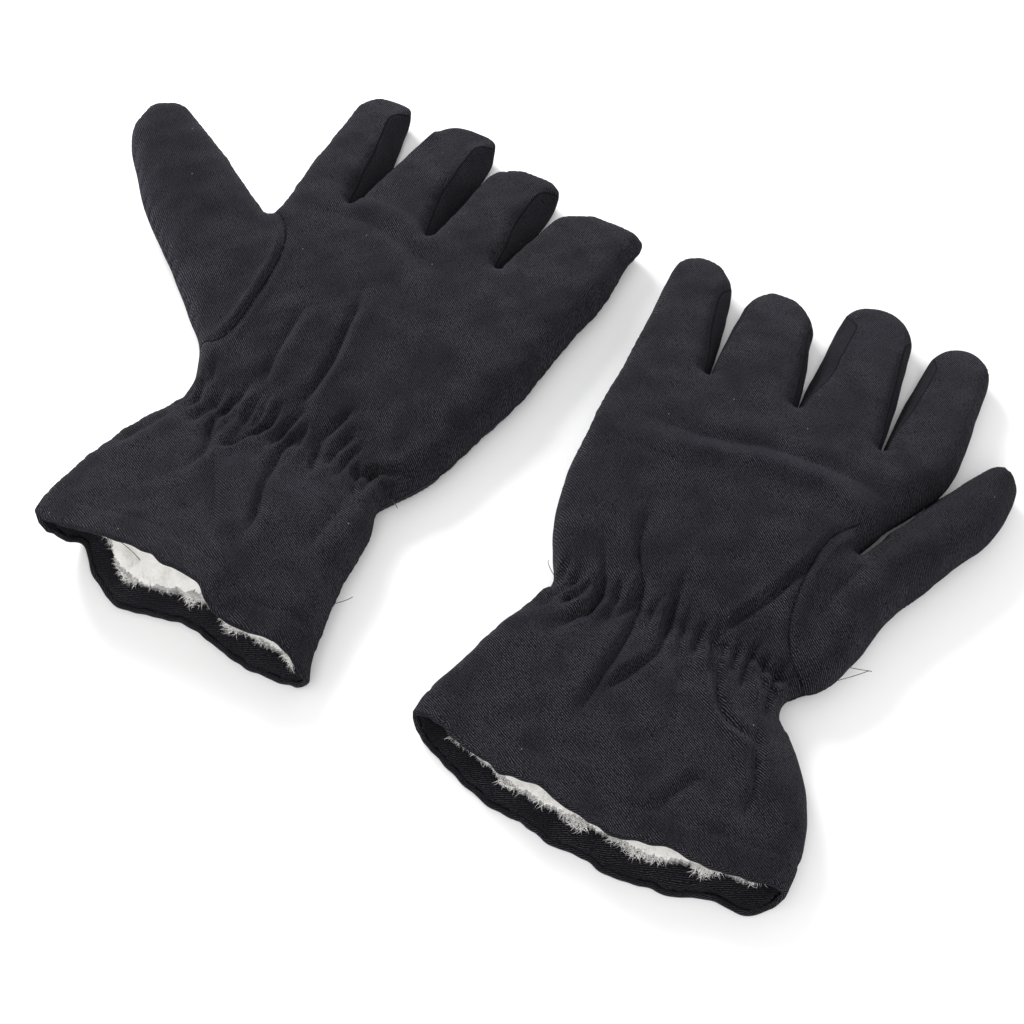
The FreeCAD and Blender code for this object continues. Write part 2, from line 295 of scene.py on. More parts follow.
def smooth_line(points, step):
    """Even points along a Catmull-Rom curve through the given ones."""
    p = np.array(points, float)
    padded = np.vstack([2 * p[0] - p[1], p, 2 * p[-1] - p[-2]])
    fine = []
    for k in range(1, len(padded) - 2):
        a, b, c, d = padded[k - 1:k + 3]
        for t in np.linspace(0, 1, 16, endpoint=False):
            fine.append(0.5 * (2 * b + (c - a) * t + (2 * a - 5 * b + 4 * c - d) * t * t
                               + (3 * b - a - 3 * c + d) * t ** 3))
    fine.append(p[-1])
    fine = np.array(fine)
    along = np.r_[0, np.cumsum(np.linalg.norm(np.diff(fine, axis=0), axis=1))]
    count = max(2, int(round(along[-1] / step)) + 1)
    wanted = np.linspace(0, along[-1], count)
    return np.column_stack([np.interp(wanted, along, fine[:, k]) for k in range(p.shape[1])])


def nearest_on(points, line):
    """Distance from each 2-D point to a polyline, and the place along it in segments."""
    a, b = line[:-1], line[1:]
    ab = b - a
    length2 = np.maximum((ab ** 2).sum(1), 1e-12)
    best = np.full(len(points), 1e9)
    where = np.zeros(len(points))
    for start in range(0, len(points), 4000):
        p = points[start:start + 4000, None, :]
        t = np.clip(((p - a) * ab).sum(2) / length2, 0, 1)
        d = np.linalg.norm(p - (a + t[..., None] * ab), axis=2)
        k = d.argmin(1)
        rows = np.arange(len(k))
        best[start:start + 4000] = d[rows, k]
        where[start:start + 4000] = k + t[rows, k]
    return best, where


def relax_line(values, rounds):
    """Average the values of a line with their neighbours a few times."""
    for _ in range(rounds):
        values = np.r_[values[:1], (values[:-2] + 2 * values[1:-1] + values[2:]) / 4, values[-1:]]
    return values


def inside(points, polygon):
    """True for the 2-D points inside a closed polygon."""
    x, y = points[:, 0], points[:, 1]
    hit = np.zeros(len(points), bool)
    for (x0, y0), (x1, y1) in zip(polygon, np.roll(polygon, -1, axis=0)):
        crosses = (y0 > y) != (y1 > y)
        edge_x = x0 + (y - y0) * (x1 - x0) / (y1 - y0 if y1 != y0 else 1e-9)
        hit ^= crosses & (x < edge_x)
    return hit


def wavy(points, scale, seed):
    """Smooth repeatable noise from -1 to 1 made of a few crossing waves."""
    rng = np.random.default_rng(seed)
    total = np.zeros(len(points))
    for _ in range(7):
        direction = rng.normal(size=points.shape[1])
        direction /= np.linalg.norm(direction)
        period = scale * rng.uniform(0.6, 1.6)
        total += np.sin(points @ direction * (2 * math.pi / period) + rng.uniform(0, 6.28))
    return total / 4.0


# ---------------------------------------------------------------- outline of one glove
def finger_shapes(side):
    """Half width, tip and lean of each finger, and where its dome starts, read from the frame."""
    shapes = []
    dome = GLOVES[side]["tip"][0]
    for finger, trim in zip(FINGERS, GLOVES[side]["tip_trim"]):
        hinge = to_glove(side, JOINTS[f"{side}_{finger}_curl"]["pos_m"])
        low, high = (to_glove(side, corner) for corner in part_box(f"{side}_{finger}_front"))
        low_x, high_x = min(low[0], high[0]), max(low[0], high[0])
        length = high[1] - hinge[1] - TIP_EASE
        lean = (high_x + low_x - 2.0 * hinge[0]) / (length - dome)
        dome_y = hinge[1] + length - dome
        shapes.append({"half": min(hinge[0] - low_x, high_x - hinge[0]), "lean": lean, "trim": trim,
                       "dome": dome, "dome_y": dome_y, "dome_x": hinge[0] + lean * (dome_y - hinge[1])})
    return shapes


def finger_outline(shape, base_left, base_right, power):
    """Outline of a finger: up its left side points, over the tip, down its right side points."""
    angles = np.linspace(math.pi, 0, 23)
    shape_power = 2.0 / np.where(angles > math.pi / 2, power[0], power[1])
    across = np.sign(np.cos(angles)) * np.abs(np.cos(angles)) ** shape_power
    over = np.abs(np.sin(angles)) ** shape_power * shape["dome"]
    reach = shape["half"] - np.where(across > 0, shape["trim"], 0.0)
    tip = np.column_stack([shape["dome_x"] + across * reach + shape["lean"] * over,
                           shape["dome_y"] + over])
    left = smooth_line([*base_left, tuple(tip[0])], EDGE_STEP)[:-1]
    right = smooth_line([tuple(tip[-1]), *base_right], EDGE_STEP)[1:]
    to_apex = np.abs(angles - math.pi / 2) / (math.pi / 2)
    share = np.r_[np.ones(len(left)), ramp(to_apex, 0.7, 1.0), np.ones(len(right))]
    return np.vstack([left, tip, right]), share, len(left) + 11


def side_chain(side):
    """Sewn outline from hem to hem, with its fourchette share, front inset and owning finger."""
    glove = GLOVES[side]
    slits = slit_lines(side)
    parts = []

    def add(points, share, inset, owner):
        values = (np.broadcast_to(value, len(points)) for value in (share, inset, owner))
        parts.append([points, *values])

    add(smooth_line(glove["thumb_edge"], EDGE_STEP), 0.0, 0.0, -1)
    for k, shape in enumerate(finger_shapes(side)):
        base_left = [glove["thumb_edge"][-1]] if k == 0 else slit_wall(slits[k - 1], 1.0)
        base_right = [glove["little_edge"][0]] if k == 3 else slit_wall(slits[k], -1.0)[::-1]
        outline, seam, apex = finger_outline(shape, base_left, base_right, glove["tip"][1])
        if k == 0:
            outline, seam = outline[1:], seam[1:]
            seam[:apex] = 0.0
        if k == 3:
            outline, seam = outline[:-1], seam[:-1]
            seam[apex:] = 0.0
        left_inset, right_inset = glove["front_inset"][k]
        past_apex = np.arange(len(outline)) >= apex
        add(outline, seam, np.where(past_apex, float(right_inset), float(left_inset)), k)
        if k < 3:
            crotch_x, crotch_y = glove["crotch"][k]
            turn = np.linspace(0, math.pi, 7)[1:-1]
            round_crotch = np.column_stack([crotch_x - np.cos(turn) * SLIT,
                                            crotch_y - np.sin(turn) * SLIT])
            insets = np.linspace(right_inset, glove["front_inset"][k + 1][0], len(turn) + 2)[1:-1]
            add(round_crotch, 1.0, insets, np.where(np.arange(len(turn)) < 3, k, k + 1))
    add(smooth_line(glove["little_edge"], EDGE_STEP), 0.0, 0.0, -1)
    return tuple(np.concatenate(part) for part in zip(*parts))


def slit_wall(slit, sign):
    """Side points of a finger along a slit that stays closed for half of its length."""
    (low_y, high_y), (low_x, high_x) = slit
    middle_x, middle_y = (low_x + high_x) / 2.0, (low_y + high_y) / 2.0
    return [(low_x + sign * SLIT, low_y + 0.5), (middle_x + sign * 1.3 * SLIT, middle_y)]


def slit_lines(side):
    """Middle line of each slit between two fingers, as (ys, xs)."""
    shapes = finger_shapes(side)
    lines = []
    for (crotch_x, crotch_y), left, right in zip(GLOVES[side]["crotch"], shapes, shapes[1:]):
        left_x, right_x = left["dome_x"] + left["half"], right["dome_x"] - right["half"]
        lines.append(([crotch_y, (left["dome_y"] + right["dome_y"]) / 2.0],
                      [crotch_x, (left_x + right_x) / 2.0]))
    return lines


def down_cuff(points):
    """Place along the cuff, 0 at its hinge and 1 at the hem."""
    return np.clip((CUFF_HINGE - points[:, 1]) / CUFF_LENGTH, 0, 1)


def seam_height(side, points):
    """Height of the side seam: level along the hand, rising or falling towards the hem."""
    thumb_side, little_side = GLOVES[side]["side_seam"]
    along = down_cuff(points) ** 1.3
    on_thumb_side = points[:, 0] < 0
    at_wrist = np.where(on_thumb_side, thumb_side[0], little_side[0])
    at_hem = np.where(on_thumb_side, thumb_side[1], little_side[1])
    return at_wrist + (at_hem - at_wrist) * along


def top_height(side, points):
    """Height of the palm side above the table, before creases."""
    hand = profile(PALM_HEIGHT, points[:, 1])
    mouth = profile(GLOVES[side]["mouth_height"], points[:, 0])
    along = down_cuff(points) ** 1.1
    return hand + (mouth - hand) * along


# ---------------------------------------------------------------- panels
def fill_panel(boundary):
    """Triangles of a panel: its boundary points first, then an even grid of inner points."""
    low, high = boundary.min(0), boundary.max(0)
    rows = []
    for k, y in enumerate(np.arange(low[1], high[1], GRID * math.sqrt(3) / 2)):
        xs = np.arange(low[0] + (k % 2) * GRID / 2, high[0], GRID)
        rows.append(np.column_stack([xs, np.full(len(xs), y)]))
    grid = np.vstack(rows)
    grid = grid[inside(grid, boundary)]
    closed = np.vstack([boundary, boundary[:1]])
    grid = grid[nearest_on(grid, closed)[0] > 0.6 * GRID]
    every = np.vstack([boundary, grid])
    loop = [(k, (k + 1) % len(boundary)) for k in range(len(boundary))]
    verts, _, faces, origin, _, _ = delaunay_2d_cdt(
        [Vector(p) for p in every], loop, [list(range(len(boundary)))], 1, 1e-4)
    back = np.array([o[0] if o else -1 for o in origin])
    triangles = back[np.array(faces)]
    return grid, triangles


def lift(points, edge, edge_z, ceiling, soft):
    """Height of inner points: edge_z at the sewn edge, curving up or down to the ceiling."""
    distance, where = nearest_on(points, edge)
    edge_height = np.interp(where, np.arange(len(edge)), edge_z)
    reach = 6.0 + soft * np.abs(ceiling - edge_height)
    x = 1.0 - np.clip(distance / reach, 0, 1)
    return edge_height + (ceiling - edge_height) * (1.0 - x ** 2.2) ** (1 / 2.2)


def build_skin(side):
    """Welded skin of one glove before simulation: points, faces, labels, seams and texture places."""
    glove = GLOVES[side]
    chain, share, inset, owner = side_chain(side)
    slits, gap = slit_lines(side), thumb_gap(side)
    tangent = unit(np.gradient(chain, axis=0))
    inward = np.column_stack([tangent[:, 1], -tangent[:, 0]])
    seam_z = seam_height(side, chain)
    crotch_y = np.mean(glove["crotch"], axis=0)[1]
    inset = share * relax_line(inset, 4) * (0.25 + 0.75 * ramp(chain[:, 1], crotch_y, crotch_y + 30.0))
    front_edge = chain + inward * inset[:, None]
    back_edge = chain + inward * (BACK_INSET * share)[:, None]
    front_z = seam_z + FRONT_RISE * share
    back_z = seam_z - BACK_DROP * share

    def panel(name, edge, edge_z, soft):
        """Points of a panel beyond its sewn edge, its triangles and how many points its hem has."""
        corner_to_corner = [tuple(chain[-1])] + glove[f"{name}_hem"] + [tuple(chain[0])]
        hem = smooth_line(corner_to_corner, EDGE_STEP)[1:-1]
        grid, triangles = fill_panel(np.vstack([edge, hem]))
        free = np.vstack([hem, grid])
        ceiling = top_height(side, free) if name == "front" else 0.0
        height = lift(free, edge, edge_z, ceiling, soft)
        return np.column_stack([free, height]), triangles, len(hem)

    front_free, front_tris, front_hem = panel("front", front_edge, front_z, 0.6)
    back_free, back_tris, back_hem = panel("back", back_edge, back_z, 0.35)

    verts = []

    def add_points(points):
        """Append points to the skin and give their numbers."""
        first = sum(map(len, verts))
        verts.append(points)
        return first + np.arange(len(points))

    split = share > 0
    edge_id = add_points(np.column_stack([front_edge, front_z]))
    add_points(front_free)
    back_id = edge_id.copy()
    back_id[split] = add_points(np.column_stack([back_edge, back_z])[split])
    back_map = np.r_[back_id, add_points(back_free)]
    rows = [edge_id]
    for t in np.arange(1, STRIP_ROWS) / STRIP_ROWS:
        bulge = inward * (math.sin(math.pi * t) * share)[:, None]
        xy = front_edge + (back_edge - front_edge) * t - bulge
        z = front_z + (back_z - front_z) * t
        row = edge_id.copy()
        row[split] = add_points(np.column_stack([xy, z])[split])
        rows.append(row)
    rows.append(back_id)

    faces, labels, places = [], [], []

    def add_face(face, label, place):
        """Keep a face with its label and texture places, less the corners that fall together."""
        keep = [k for k in range(len(face)) if face[k] != face[k - 1]]
        if len(keep) >= 3:
            faces.append([int(face[k]) for k in keep])
            labels.append(label)
            places.append([place[k] for k in keep])

    front_xy = np.vstack([front_edge, front_free[:, :2]])
    back_xy = np.vstack([back_edge, back_free[:, :2]])
    for tri in orient(front_tris, front_xy, 1.0):
        add_face(tri, ("front", region_of(side, front_xy[tri].mean(0), slits, gap)), front_xy[tri])
    for tri in orient(back_tris, back_xy, -1.0):
        place = back_xy[tri] * (-1.0, 1.0)
        region = region_of(side, back_xy[tri].mean(0), slits, gap)
        add_face(back_map[tri], ("back", region), place)
    along = np.r_[0, np.cumsum(np.linalg.norm(np.diff(chain, axis=0), axis=1))]
    n = len(chain)
    for k in range(n - 1):
        if not (split[k] or split[k + 1]):
            continue
        finger = max(owner[k], 0) if split[k] else max(owner[k + 1], 0)
        for r in range(STRIP_ROWS):
            quad = (rows[r][k], rows[r][k + 1], rows[r + 1][k + 1], rows[r + 1][k])
            place = [(along[k + right], 4.0 * (r + down))
                     for right, down in ((0, 0), (1, 0), (1, 1), (0, 1))]
            add_face(quad, ("fourchette", FINGERS[finger]), place)

    seams = [edge_id]
    for run in np.split(edge_id, np.where(np.diff(split.astype(int)))[0] + 1):
        if split[run[0]]:
            seams.append(back_id[max(run[0] - 1, 0):run[-1] + 2])
    front_rim = np.r_[n - 1, np.arange(n, n + front_hem), 0]
    back_rim = np.r_[n - 1, back_map[n:n + back_hem], 0]
    return {"verts": np.vstack(verts), "faces": faces, "labels": labels, "places": places,
            "seams": seams, "front_rim": front_rim, "back_rim": back_rim, "side_line": edge_id}


def orient(triangles, xy, sign):
    """Triangles wound so that they face up (sign 1) or down (sign -1)."""
    a, b, c = (xy[triangles[:, k]] for k in range(3))
    area = (b[:, 0] - a[:, 0]) * (c[:, 1] - a[:, 1]) - (b[:, 1] - a[:, 1]) * (c[:, 0] - a[:, 0])
    turned = triangles.copy()
    wrong = area * sign < 0
    turned[wrong] = turned[wrong][:, ::-1]
    return turned


def thumb_line(side):
    """Hinge point and unit direction of the thumb in the glove frame."""
    joint = JOINTS[f"{side}_thumb_curl"]
    hinge = to_glove(side, joint["pos_m"])[:2]
    axis = np.array(joint["axis"][:2], float)
    direction = np.array([-axis[1], axis[0]])
    direction[0] *= GLOVES[side]["mirror"]
    return hinge, direction / np.linalg.norm(direction)


def thumb_gap(side):
    """Line between thumb and palm: through the hand below their crotch, up the gap above it."""
    edge = smooth_line(GLOVES[side]["thumb_edge"], EDGE_STEP)
    split = np.linalg.norm(edge - GLOVES[side]["thumb_crotch"], axis=1).argmin()
    palm = edge[split:]
    thumb = edge[:split + 1][::-1]
    thumb = thumb[:thumb[:, 1].argmax() + 1]
    facing_x = np.interp(palm[:, 1], thumb[:, 1], thumb[:, 0])
    middle = np.column_stack([(palm[:, 0] + facing_x) / 2.0, palm[:, 1]])
    return np.vstack([edge[split] - thumb_line(side)[1] * 60.0, middle])


def region_of(side, point, slits, gap):
    """Which moving body a place on the glove belongs to."""
    if point[1] < CUFF_HINGE - BENDS["cuff"][0] + CUFF_CUT_BACK:
        return "cuff"
    hinge, direction = thumb_line(side)
    ahead = (point - hinge) @ direction
    beyond_gap = point[0] < np.interp(point[1], gap[:, 1], gap[:, 0])
    if ahead > BENDS["thumb"][0] - THUMB_CUT_BACK and beyond_gap:
        return "thumb"
    knuckle_y = to_glove(side, JOINTS[f"{side}_index_curl"]["pos_m"])[1]
    if point[1] > knuckle_y + FINGER_BEND[0] - CUT_BACK:
        for k in range(3):
            if point[0] < np.interp(point[1], *slits[k]):
                return FINGERS[k]
        return FINGERS[3]
    return "hand"


# ---------------------------------------------------------------- cloth
def mesh_object(name, verts_m, faces):
    """New object holding a mesh given in metres."""
    mesh = bpy.data.meshes.new(name)
    mesh.from_pydata(np.asarray(verts_m).tolist(), [], faces)
    mesh.validate()
    obj = bpy.data.objects.new(name, mesh)
    bpy.context.scene.collection.objects.link(obj)
    return obj


def settle(side, skin):
    """Let the skin wrinkle as cloth: it has more fabric than room, most of all at the wrist."""
    start = skin["verts"]
    gather = bell(start[:, 1], 0.0, GATHER_REACH)
    rest = start.copy()
    rest[:, 0] *= 1.0 + SLACK + GATHER * gather
    rest[:, 1] *= 1.0 + SLACK
    begin = start.copy()
    begin[:, 2] += 0.5 * wavy(start, 16.0, 5) * ramp(start[:, 2], 1.0, 12.0)
    begin[:, 2] += 0.8 * np.sin(start[:, 0] * 0.75 + wavy(start, 60.0, 8) * 2.0) * gather \
        * ramp(start[:, 2], 8.0, 18.0)

    hold = np.full(len(start), HOLD["cloth"])
    hold[skin["side_line"]] = HOLD["side"]
    for rim in (skin["front_rim"], skin["back_rim"]):
        hold[rim] = HOLD["hem"]
    flat = start[:, 2] < 0.5
    hold[flat] = HOLD["floor"]

    obj = mesh_object(f"{side}_cloth", begin / 1000.0, skin["faces"])
    obj.shape_key_add(name="Basis")
    key = obj.shape_key_add(name="More_fabric")
    key.data.foreach_set("co", (rest / 1000.0).ravel())
    group = obj.vertex_groups.new(name="hold")
    for level in HOLD.values():
        group.add(np.where(hold == level)[0].tolist(), level, "REPLACE")
    cloth = obj.modifiers.new("Cloth", "CLOTH")
    settings = cloth.settings
    for name, value in CLOTH.items():
        setattr(settings, name, value)
    settings.rest_shape_key = key
    settings.effector_weights.gravity = 0
    cloth.collision_settings.use_collision = False
    scene = bpy.context.scene
    for step in range(1, CLOTH_FRAMES + 1):
        scene.frame_set(step)
    settled = obj.evaluated_get(bpy.context.evaluated_depsgraph_get()).to_mesh()
    moved = np.zeros(start.size)
    settled.vertices.foreach_get("co", moved)
    moved = moved.reshape(-1, 3) * 1000.0
    scene.frame_set(1)
    bpy.data.objects.remove(obj)
    moved = start + at_most(moved - start, SETTLE_LIMIT)
    moved[:, 2] = np.maximum(moved[:, 2], np.where(flat, 0.0, 0.2))
    moved[flat, 2] = np.minimum(moved[flat, 2], 1.5)
    return moved


def sum_at(index, values, count):
    """Sum of the values that share an index."""
    total = np.zeros((count, values.shape[1]))
    np.add.at(total, index, values)
    return total


def subdivide(verts, faces, places, seams):
    """One Catmull-Clark step that keeps seams and open edges sharp.

    Gives the new points, quads and texture places, each quad's old face, and a function that
    follows a line of old points through the new ones.
    """
    sizes = np.array([len(face) for face in faces])
    start = np.concatenate(faces)
    first = np.r_[0, np.cumsum(sizes)[:-1]]
    following = np.arange(len(start)) + 1
    following[first + sizes - 1] = first
    previous = np.arange(len(start)) - 1
    previous[first] = first + sizes - 1
    owner = np.repeat(np.arange(len(faces)), sizes)
    count = len(verts)
    face_point = sum_at(owner, verts[start], len(faces)) / sizes[:, None]

    ends = np.sort(np.column_stack([start, start[following]]), axis=1)
    keys, edge = np.unique(ends[:, 0] * count + ends[:, 1], return_inverse=True)
    edge_ends = np.column_stack([keys // count, keys % count])

    def edges_of(line):
        pair = np.sort(np.column_stack([line[:-1], line[1:]]), axis=1)
        return np.searchsorted(keys, pair[:, 0] * count + pair[:, 1])

    def finer(line):
        out = np.empty(2 * len(line) - 1, int)
        out[0::2] = line
        out[1::2] = count + edges_of(line)
        return out

    sharp = np.bincount(edge, minlength=len(keys)) == 1
    for line in seams:
        sharp[edges_of(line)] = True
    middle = verts[edge_ends].mean(1)
    around = sum_at(edge, face_point[owner], len(keys))
    edge_point = np.where(sharp[:, None], middle, (2 * middle + around) / 4.0)

    either_end = edge_ends.T.ravel()
    valence = np.bincount(either_end, minlength=count)[:, None]
    face_uses = np.bincount(start, minlength=count)[:, None]
    face_mean = sum_at(start, face_point[owner], count) / np.maximum(face_uses, 1)
    edge_total = sum_at(either_end, np.tile(middle, (2, 1)), count)
    smooth = (face_mean + 2 * edge_total / valence + (valence - 3) * verts) / valence
    sharp_end = edge_ends[sharp].T
    sharp_total = sum_at(sharp_end.ravel(), verts[sharp_end[::-1].ravel()], count)
    sharp_uses = np.bincount(sharp_end.ravel(), minlength=count)
    moved = np.where((sharp_uses == 2)[:, None], (sharp_total + 6 * verts) / 8.0, smooth)
    moved = np.where((sharp_uses > 2)[:, None], verts, moved)

    quads = np.column_stack([start, count + edge, count + len(keys) + owner,
                             count + edge[previous]])
    place = np.concatenate(places)
    face_place = sum_at(owner, place, len(faces)) / sizes[:, None]
    uv = np.stack([place, (place + place[following]) / 2, face_place[owner],
                   (place + place[previous]) / 2], axis=1)
    return np.vstack([moved, edge_point, face_point]), quads, uv, owner, finer


def point_normals(points, quads):
    """Area-weighted normals of the points."""
    a, b, c, d = (points[quads[:, k]] for k in range(4))
    out = sum_at(quads.T.ravel(), np.tile(np.cross(c - a, d - b), (4, 1)), len(points))
    return unit(out)


def relax(values, quads, rounds):
    """Average values over neighbouring points a few times."""
    ahead = quads.T.ravel()
    behind = np.roll(quads, -1, axis=1).T.ravel()
    index, other = np.r_[ahead, behind], np.r_[behind, ahead]
    degree = np.maximum(np.bincount(index, minlength=len(values)), 1.0)[:, None]
    for _ in range(rounds):
        values = 0.5 * values + 0.5 * sum_at(index, values[other], len(values)) / degree
    return values


def distance_3d(points, line, reach):
    """Distance from points to a dense 3-D line, at most reach."""
    tree = KDTree(len(line))
    for k, place in enumerate(line):
        tree.insert(place, k)
    tree.balance()
    return np.array([min(tree.find(point)[2], reach) for point in points])


def dense(line, step=0.5):
    """Even points along a 3-D polyline."""
    along = np.r_[0, np.cumsum(np.linalg.norm(np.diff(line, axis=0), axis=1))]
    wanted = np.arange(0, along[-1], step)
    return np.column_stack([np.interp(wanted, along, line[:, k]) for k in range(3)])


def crease(points, normals, line, depth, width, ridge):
    """Push a fold line into the palm side and lift a soft ridge, most of all on its left."""
    curve = smooth_line(line, 3.0)
    push = np.zeros(len(points))
    low, high = curve.min(0) - 14.0, curve.max(0) + 14.0
    near = np.all((points[:, :2] > low) & (points[:, :2] < high), axis=1) & (normals[:, 2] > 0.1)
    place = points[near, :2]
    distance, where = nearest_on(place, curve)
    reach = np.clip(np.minimum(where, len(curve) - 1 - where) / (0.3 * len(curve)), 0, 1)
    width = width * (1.6 - 0.6 * reach)
    k = np.clip(where.astype(int), 0, len(curve) - 2)
    along = curve[k + 1] - curve[k]
    offset = place - curve[k]
    on_left = along[:, 0] * offset[:, 1] - along[:, 1] * offset[:, 0] > 0
    push_in = -depth * np.exp(-distance / width)
    lift_side = ridge * bell(distance, 2.2 * width, 1.7 * width)
    strength = reach * reach * (3 - 2 * reach) * ramp(normals[near, 2], 0.1, 0.6)
    push[near] = (push_in + lift_side * np.where(on_left, 1.0, 0.3)) * strength
    return push


def fold_push(side, points, normals):
    """How far folds, wrist puckers and loose cloth move each point along its normal, in mm."""
    push = np.zeros(len(points))
    at_thumb = (GLOVES[side]["thumb_seam"], *THUMB_SEAM_FOLD)
    for line, depth, width, ridge in CREASES[side] + pleats(side) + [at_thumb]:
        push += crease(points, normals, line, depth, width, ridge)
    push -= 0.9 * bell(points[:, 1], 0.0, 3.0) * ramp(normals[:, 2], 0.0, 0.5)
    push += 0.2 * wavy(points, 11.0, 21) + 0.35 * wavy(points, 26.0, 22)
    return np.clip(push, *PUSH_LIMITS)


def finish_skin(side):
    """Simulated, creased fine skin of one glove in its own frame, in mm."""
    skin = build_skin(side)
    coarse = settle(side, skin)
    points, quads, uv, owner, finer = subdivide(coarse, skin["faces"], skin["places"],
                                                skin["seams"])
    front_rim, back_rim = finer(skin["front_rim"]), finer(skin["back_rim"])
    on_seam = np.zeros(len(points), bool)
    for line in [finer(line) for line in skin["seams"]] + [front_rim, back_rim]:
        points[line] += at_most(relax_line(points[line], 6) - points[line], SEAM_EASE)
        on_seam[line] = True
    points = np.where(on_seam[:, None], points, relax(points, quads, 2))
    smooth = relax(points, quads, 6)
    normals = unit(relax(point_normals(smooth, quads), quads, 4))
    push = fold_push(side, points, normals)

    seam_points = np.vstack([dense(points[finer(line)]) for line in skin["seams"]])
    on_top, _ = nearest_on(points[:, :2], smooth_line(GLOVES[side]["thumb_seam"], 1.0))
    seam = distance_3d(points, seam_points, SEAM_REACH)
    seam = np.where(normals[:, 2] > 0.05, np.minimum(seam, on_top), seam)
    groove = 0.25 * bell(seam, 3.2, 1.8) - 0.35 * bell(seam, 0.0, 1.4)
    mouth = np.r_[front_rim, back_rim[::-1][1:-1]]
    hem = distance_3d(points, dense(points[np.r_[mouth, mouth[:1]]], 1.0), 24.0)
    stitched = -0.5 * bell(hem, HEM_DEPTH - 1.5, 1.2)
    loose = ramp(points[:, 2], 0.2, 3.0)
    ruffle = np.exp(-hem / 9.0) * (0.7 * wavy(points, 17.0, 61) + 0.4 * wavy(points, 7.0, 62))
    inner = smooth + normals * (np.minimum(push, 0.0) * loose)[:, None]
    inner[:, 1] += 1.5 * ruffle
    points[:, 1] += 1.5 * ruffle
    points = points + normals * ((push + groove + stitched) * loose)[:, None]
    beside = np.where(on_seam, 0.0, bell(seam, 0.0, 3.5))[:, None]
    points = points + beside * (relax(points, quads, 3) - points)
    points[:, 2] = np.maximum(points[:, 2], 0.0)

    names = sorted(set(skin["labels"]))
    which = np.array([names.index(label) for label in skin["labels"]])[owner]
    regions = np.array([region for _, region in names])[which]
    return {"points": points, "quads": quads, "uv": uv, "which": which, "names": names,
            "regions": regions, "inner": inner, "mouth": mouth, "seam": seam, "hem": hem,
            "normals": point_normals(points, quads), "soft_normals": normals}


def pleats(side):
    """Uneven puckers along the wrist elastic, as creases of the palm side."""
    rng = np.random.default_rng(GLOVES[side]["pleat_seed"])
    low, high = GLOVES[side]["wrist_width"]
    made = []
    x = low + 3.0
    while x < high:
        up, down = rng.uniform(8.0, 24.0, 2)
        lean_up, lean_down = rng.uniform(-0.3, 0.3, 2) + 0.35 * x / high
        line = [(x + lean_up * up, up), (x, 2.0), (x + lean_down * down, -down)]
        made.append((line, rng.uniform(2.0, 4.0), rng.uniform(1.1, 1.9), rng.uniform(1.0, 2.0)))
        x += rng.uniform(4.5, 10.0)
    return made


# ---------------------------------------------------------------- pieces
def shell_piece(side, node, kind, region, fine, faces, outer, inner, normals, material):
    """Closed sheet between outer and inner points over some of the skin's faces."""
    quads = fine["quads"][faces]
    used, local = np.unique(quads, return_inverse=True)
    local = local.reshape(quads.shape)
    count = len(used)
    edges = np.vstack([local[:, [k, (k + 1) % 4]] for k in range(4)])
    forward = edges[:, 0] * count + edges[:, 1]
    backward = edges[:, 1] * count + edges[:, 0]
    rim = edges[~np.isin(forward, backward)]
    sides = np.column_stack([rim[:, 1], rim[:, 0], rim[:, 0] + count, rim[:, 1] + count])
    all_faces = np.vstack([local, local[:, ::-1] + count, sides])
    uv = fine["uv"][faces]
    corner_uv = np.zeros((count, 2))
    corner_uv[local.ravel()] = uv.reshape(-1, 2)
    all_uv = np.vstack([uv, uv[:, ::-1], corner_uv[sides % count]])
    all_normals = np.vstack([normals[used], -normals[used]])
    if GLOVES[side]["mirror"] < 0:
        all_faces, all_uv = all_faces[:, ::-1], all_uv[:, ::-1] * (-1.0, 1.0)
        all_normals = all_normals * (-1.0, 1.0, 1.0)
    verts = np.vstack([outer[used], inner[used]])
    obj = mesh_object(f"{side}_{node}_{kind}", to_row(side, verts), all_faces.tolist())
    dress(obj, material, all_uv.reshape(-1, 2) * 0.1, np.tile(fine["seam"][used], 2))
    obj.data.normals_split_custom_set_from_vertices(all_normals.tolist())
    attach(obj, side, region, SLOTS[kind], node)


def dress(obj, material, uv=None, seam=None):
    """Smooth shading, material, texture places in cm and distances from the seams in mm."""
    mesh = obj.data
    if uv is not None:
        mesh.uv_layers.new(name="cloth").data.foreach_set("uv", uv.ravel())
        values = mesh.attributes.new("seam", "FLOAT", "POINT").data
        values.foreach_set("value", seam.astype(np.float32))
    mesh.shade_smooth()
    mesh.materials.append(material)


def attach(obj, side, region, slot, *nodes):
    """Ride the hand, or stay where it is for any other region, and hide the CAD nodes it stands for."""
    hand = f"{side}_hand"
    if region == "hand":
        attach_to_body(obj, hand)
    else:
        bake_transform(obj)
    if nodes:
        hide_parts(*(f"{side}_{node}" for node in nodes))


# Material slot of each kind of piece, and the CAD names of the panels of hand and cuff.
SLOTS = {"cloth": "dark_twill", "pile": "white_pile", "batting": "insulation", "band": "elastic"}
OUTER_NAMES = {("front", "hand"): "palm_panel", ("back", "hand"): "back_panel",
               ("front", "cuff"): "cuff_palm_panel", ("back", "cuff"): "cuff_back_panel"}


def outer_pieces(side, fine, materials):
    """The twill panels, one per sewn piece and body."""
    points = fine["points"]
    inner = points - fine["soft_normals"] * SHELL
    for k, (panel, region) in enumerate(fine["names"]):
        node = OUTER_NAMES.get((panel, region), f"{region}_{panel}")
        material = materials.get((panel, region)) or materials[panel]
        shell_piece(side, node, "cloth", region, fine, np.where(fine["which"] == k)[0],
                    points, inner, fine["normals"], material)


